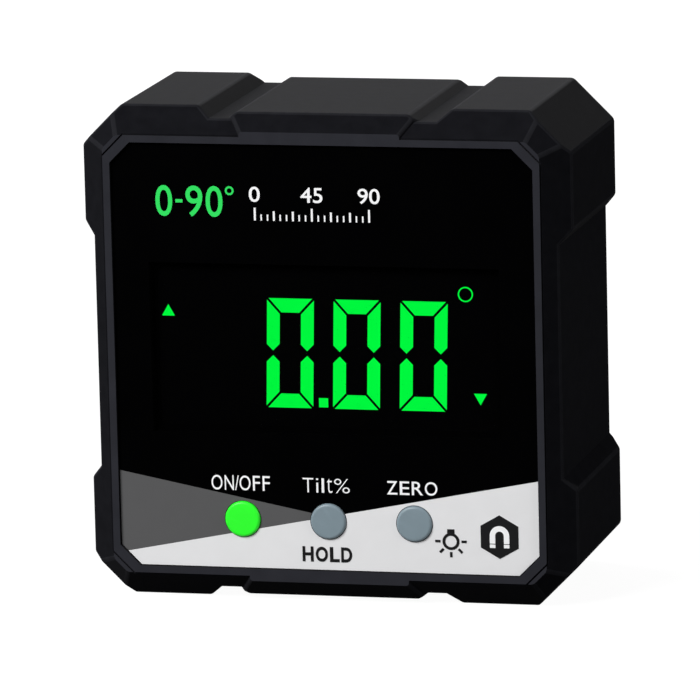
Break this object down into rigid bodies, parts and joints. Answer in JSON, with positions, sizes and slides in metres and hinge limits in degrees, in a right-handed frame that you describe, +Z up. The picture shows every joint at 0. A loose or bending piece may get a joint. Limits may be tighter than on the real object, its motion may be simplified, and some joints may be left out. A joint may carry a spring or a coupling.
{
  "type": "digital angle gauge",
  "caption": "Square digital angle gauge with a dark display, a row of push buttons, grooved reference edges, a magnetic base and a battery door in its rear cover.",
  "frame": {"origin": "centre of the base at the height of the lower corner blocks, midway between the front rim and the rear face", "axes": "+Z up when the gauge stands on its base, front face with the display towards -Y, +X to the right as seen from the front"},
  "size_m": [0.0604, 0.029, 0.0604],
  "materials": {
    "case_plastic": "fine texture",
    "panel_plastic": "smooth",
    "white_ink": "smooth",
    "grey_ink": "smooth",
    "tape": "matte",
    "clear_window": "clear",
    "display_glass": "smooth",
    "lit_segments": "lit",
    "clear_plastic": "polished",
    "lamp": "smooth",
    "white_plastic": "matte",
    "elastomer": "matte",
    "board": "solder mask",
    "chip": "matte",
    "sensor": "matte",
    "capacitor": "matte",
    "steel": "plated",
    "green_button": "satin",
    "grey_button": "satin",
    "seal_rubber": "matte",
    "cell_jacket": "satin",
    "red_sleeve": "satin",
    "black_sleeve": "satin"
  },
  "bodies": {
    "gauge": {"front_housing": "case_plastic", "face_panel": "panel_plastic", "white_print": "white_ink", "grey_print": "grey_ink", "panel_tape": "tape", "display_window": "clear_window", "lcd_glass": "display_glass", "lcd_segments": "lit_segments", "light_guide": "clear_plastic", "backlight_leds": "lamp", "lcd_frame": "white_plastic", "connector_strip": "elastomer", "main_board": "board", "controller_chip": "chip", "tilt_sensor": "sensor", "clock_crystal": "steel", "chip_capacitors": "capacitor", "switch_bodies": "chip", "board_screws": "steel", "rear_cover": "case_plastic", "cover_seal": "seal_rubber", "cover_screws": "steel", "upper_cell": "cell_jacket", "lower_cell": "cell_jacket", "battery_springs": "steel", "bridge_contact": "steel", "positive_contact": "steel", "negative_contact": "steel", "positive_lead": "red_sleeve", "negative_lead": "black_sleeve", "base_magnets": "steel"},
    "power_key": {"power_button": "green_button", "power_switch_stem": "chip"},
    "hold_key": {"hold_button": "grey_button", "hold_switch_stem": "chip"},
    "zero_key": {"zero_button": "grey_button", "zero_switch_stem": "chip"},
    "door": {"battery_door": "case_plastic"}
  },
  "joints": [
    {"name": "power_press", "type": "slide", "parent": "gauge", "child": "power_key", "axis": [0, 1, 0], "range_m": [0, 0.0003], "stiffness_N_per_m": 500},
    {"name": "hold_press", "type": "slide", "parent": "gauge", "child": "hold_key", "axis": [0, 1, 0], "range_m": [0, 0.0003], "stiffness_N_per_m": 500},
    {"name": "zero_press", "type": "slide", "parent": "gauge", "child": "zero_key", "axis": [0, 1, 0], "range_m": [0, 0.0003], "stiffness_N_per_m": 500},
    {"name": "door_swing", "type": "hinge", "parent": "gauge", "child": "door", "pos_m": [0, 0.0145, 0.0186], "axis": [-1, 0, 0], "range_deg": [0, 60]}
  ]
}
